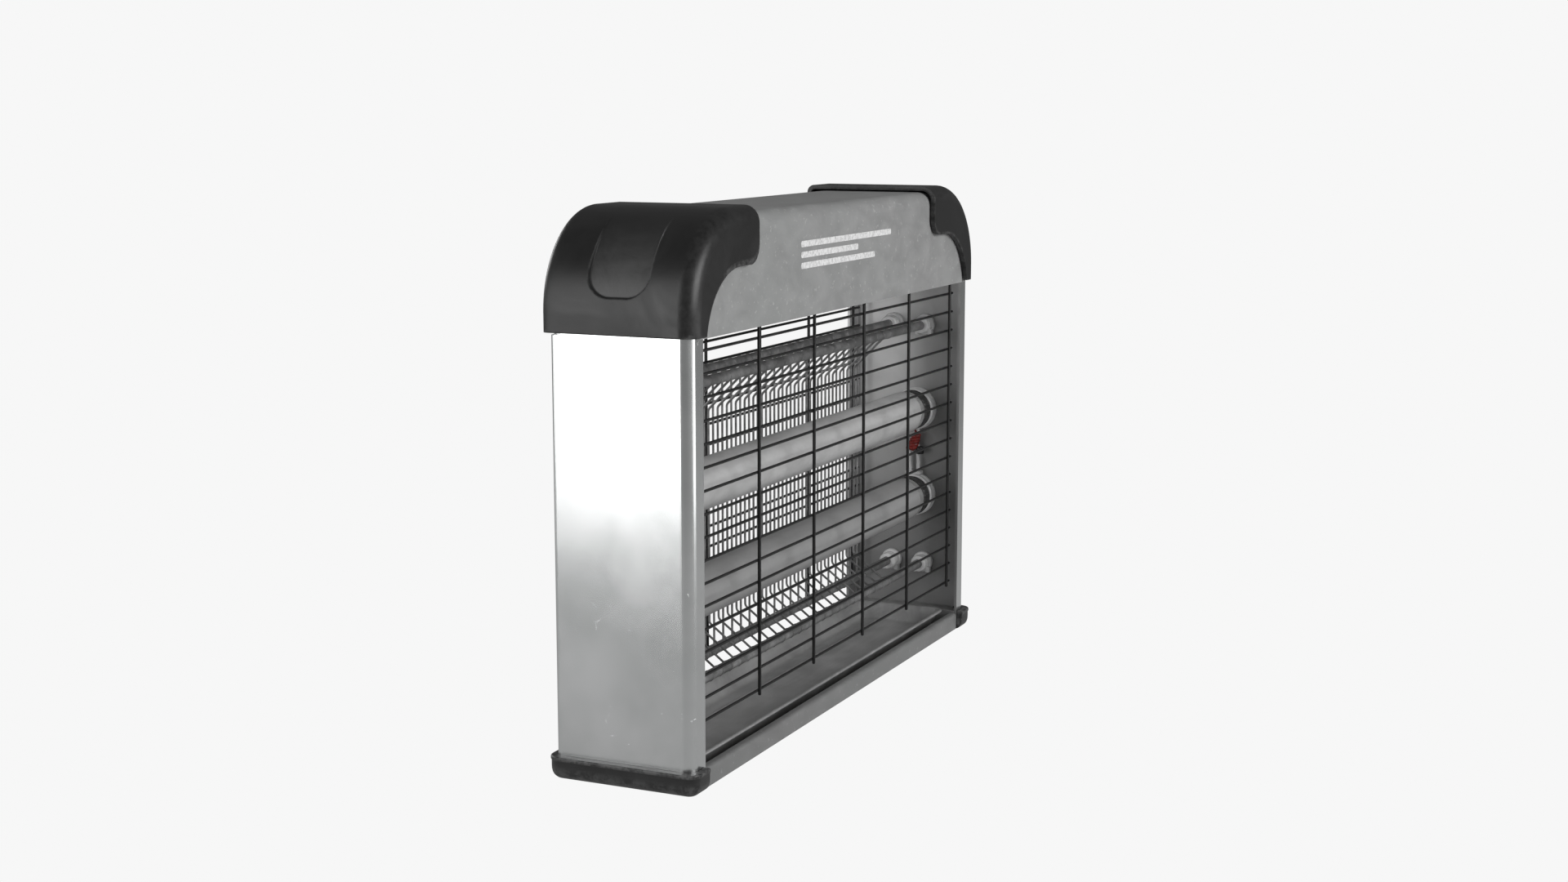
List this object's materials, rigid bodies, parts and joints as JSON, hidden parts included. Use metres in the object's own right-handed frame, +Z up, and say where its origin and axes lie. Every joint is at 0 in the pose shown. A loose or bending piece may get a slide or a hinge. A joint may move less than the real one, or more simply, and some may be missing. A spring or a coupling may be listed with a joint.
{
  "type": "electric bug zapper",
  "caption": "Free-standing electric bug zapper with a grey steel hood, round black end caps, aluminium ends, wire guards, ultraviolet lamps, a charged grid and a pull-out tray.",
  "frame": {"origin": "centre of the footprint, on the surface the unit stands on", "axes": "+Z up, +X along the body's length to the right as seen from the front, front faces -Y"},
  "size_m": [0.3888, 0.083, 0.2806],
  "materials": {
    "aluminium": "satin brushed aluminium",
    "hood_paint": "fine mottled grey paint, low gloss",
    "tray_steel": "dark grey satin paint, smudged",
    "deck_steel": "plain galvanised sheet",
    "cap_plastic": "charcoal satin plastic with light wear",
    "foot_plastic": "black moulded plastic",
    "guard_wire": "black coated wire",
    "grid_steel": "bare grey steel",
    "ceramic": "glazed off-white",
    "holder_plastic": "light grey moulded plastic",
    "rotor_plastic": "dark grey moulded plastic",
    "lamp_glass": "frosted fluorescent glass, unlit",
    "lamp_base": "drawn aluminium cap",
    "brass": "plain brass",
    "white_lead": "white insulated wire",
    "red_part": "red lacquer",
    "black_part": "black sleeve",
    "blue_lead": "blue insulated wire",
    "core_iron": "dark lacquered laminations",
    "winding": "varnished winding",
    "board": "green circuit board",
    "capacitor": "brown film capacitor",
    "white_plastic": "white moulded plastic",
    "switch_plastic": "black switch body",
    "rocker_plastic": "red rocker",
    "screw_steel": "zinc-plated steel"
  },
  "bodies": {
    "root": {"end_profile_left": "aluminium", "end_profile_right": "aluminium", "hood": "hood_paint", "deck_plate": "deck_steel", "end_cap_left": "cap_plastic", "end_cap_right": "cap_plastic", "foot_left": "foot_plastic", "foot_right": "foot_plastic", "guard_front": "guard_wire", "guard_back": "guard_wire", "rail_front_top": "grid_steel", "rail_front_bottom": "grid_steel", "rail_back_top": "grid_steel", "rail_back_bottom": "grid_steel", "grid_wires_front": "grid_steel", "grid_wires_back": "grid_steel", "insulators_left": "ceramic", "insulators_right": "ceramic", "holder_upper_left": "holder_plastic", "holder_upper_right": "holder_plastic", "holder_lower_left": "holder_plastic", "holder_lower_right": "holder_plastic", "link_leads": "white_lead", "link_choke": "red_part", "link_sleeve": "black_part", "tray_runner_left": "tray_steel", "tray_runner_right": "tray_steel", "back_sill": "hood_paint", "ballast": "core_iron", "hv_transformer": "winding", "hv_board": "board", "hv_capacitors": "capacitor", "starters": "white_plastic", "starter_sockets": "white_plastic", "terminal_block": "white_plastic", "mains_leads": "blue_lead", "lamp_leads": "white_lead", "hv_leads": "red_part", "cable_gland": "foot_plastic", "gland_nut": "foot_plastic", "switch_body": "switch_plastic", "switch_terminals": "brass", "cap_screws": "screw_steel", "deck_screws": "screw_steel"},
    "tray": {"tray_pan": "tray_steel", "tray_front_strip": "hood_paint", "tray_rivets": "screw_steel"},
    "upper_lamp": {"upper_lamp_glass": "lamp_glass", "upper_lamp_bases": "lamp_base", "upper_lamp_pins": "brass", "upper_lamp_rotors": "rotor_plastic"},
    "lower_lamp": {"lower_lamp_glass": "lamp_glass", "lower_lamp_bases": "lamp_base", "lower_lamp_pins": "brass", "lower_lamp_rotors": "rotor_plastic"},
    "rocker": {"switch_rocker": "rocker_plastic"}
  },
  "joints": [
    {"name": "tray_slide", "type": "slide", "parent": "root", "child": "tray", "axis": [0, -1, 0], "range_m": [0, 0.06]},
    {"name": "upper_lamp_twist", "type": "hinge", "parent": "root", "child": "upper_lamp", "pos_m": [0, -0.005, 0.1383], "axis": [1, 0, 0], "range_deg": [0, 90]},
    {"name": "lower_lamp_twist", "type": "hinge", "parent": "root", "child": "lower_lamp", "pos_m": [0, -0.005, 0.0832], "axis": [1, 0, 0], "range_deg": [0, 90]},
    {"name": "switch_rock", "type": "hinge", "parent": "root", "child": "rocker", "pos_m": [0.085, 0.03355, 0.248], "axis": [1, 0, 0], "range_deg": [0, 20]}
  ]
}
